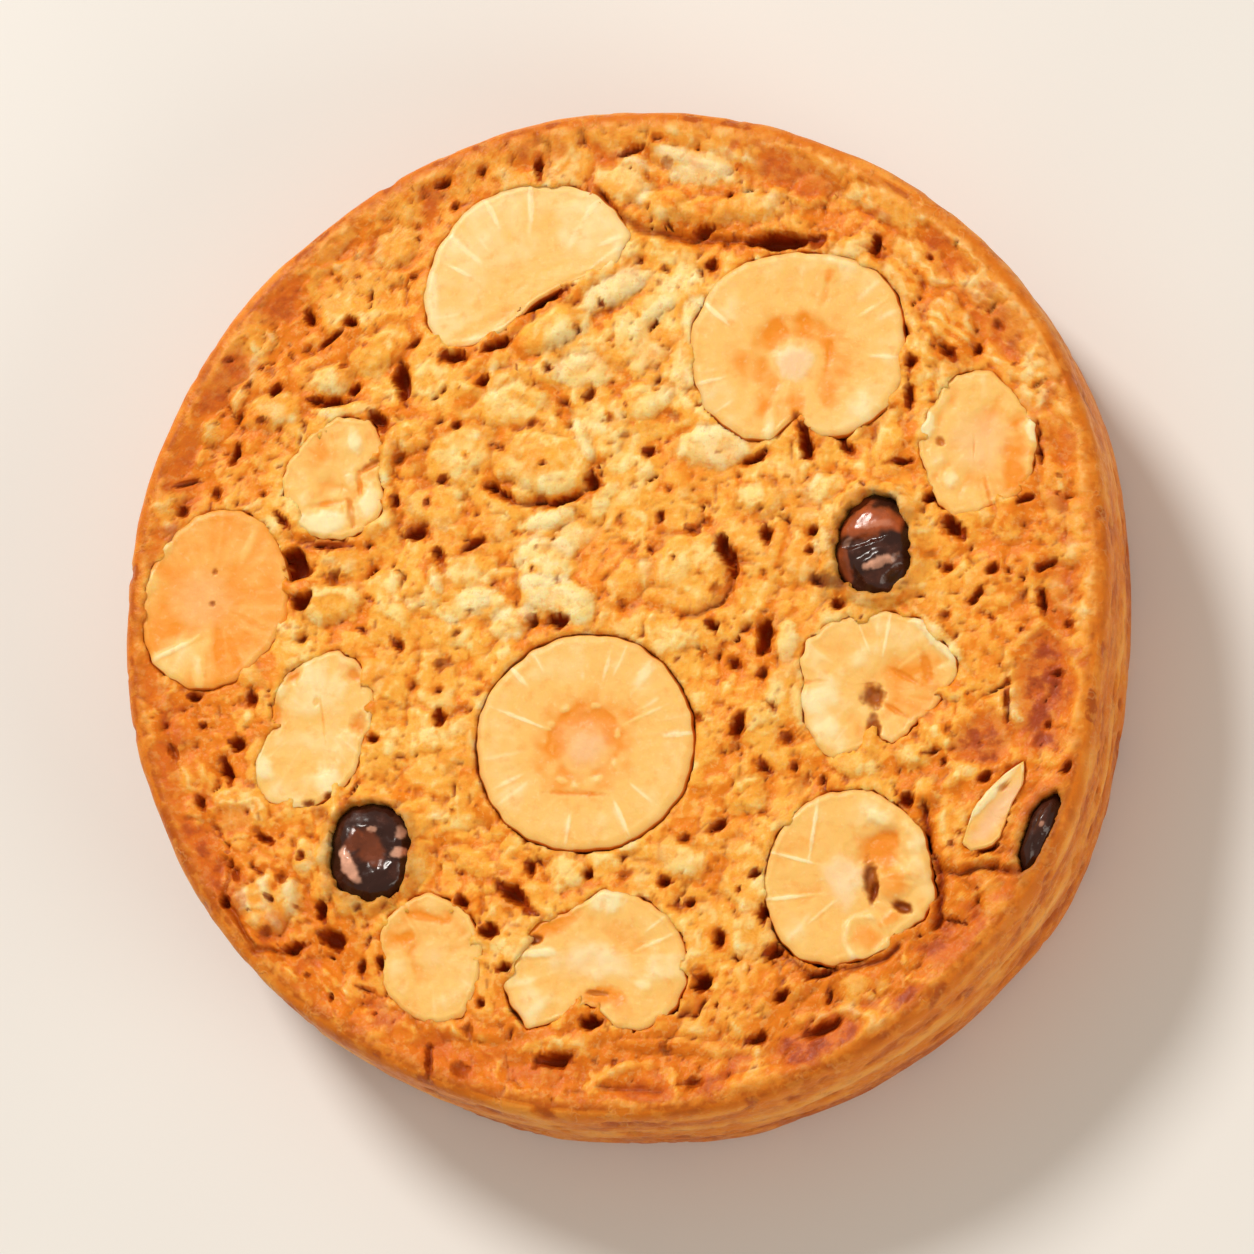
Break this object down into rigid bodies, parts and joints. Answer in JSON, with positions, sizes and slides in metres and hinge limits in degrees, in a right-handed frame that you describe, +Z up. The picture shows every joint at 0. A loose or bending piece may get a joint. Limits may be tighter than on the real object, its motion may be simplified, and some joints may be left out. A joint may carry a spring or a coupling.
{
  "type": "sable cookie",
  "caption": "Round thick butter biscuit with a crumbly golden top, sliced hazelnuts and chocolate drops set flush in it, and a smooth baked wall.",
  "frame": {"origin": "middle of the flat base, on the surface that the biscuit lies on", "axes": "+Z up through the thickness, towards the face with the nuts; +X to the right and +Y away, seen from above with the half slice at the top left"},
  "size_m": [0.0592, 0.0608, 0.0118],
  "materials": {
    "baked_dough": "baked butter dough, dry and crumbly on top, satin on the wall",
    "hazelnut": "cut hazelnut, smooth and slightly waxy",
    "chocolate": "dark chocolate, glossy with a soft skin"
  },
  "bodies": {
    "root": {"biscuit": "baked_dough", "hazelnut_top_half": "hazelnut", "hazelnut_upper_round": "hazelnut", "hazelnut_middle_round": "hazelnut", "hazelnut_left": "hazelnut", "hazelnut_left_pale": "hazelnut", "hazelnut_left_small": "hazelnut", "hazelnut_bottom_heart": "hazelnut", "hazelnut_lower_right": "hazelnut", "hazelnut_right_ragged": "hazelnut", "hazelnut_upper_right": "hazelnut", "hazelnut_bottom_left": "hazelnut", "hazelnut_rim_sliver": "hazelnut", "chocolate_right": "chocolate", "chocolate_left": "chocolate", "chocolate_rim": "chocolate"}
  },
  "joints": []
}
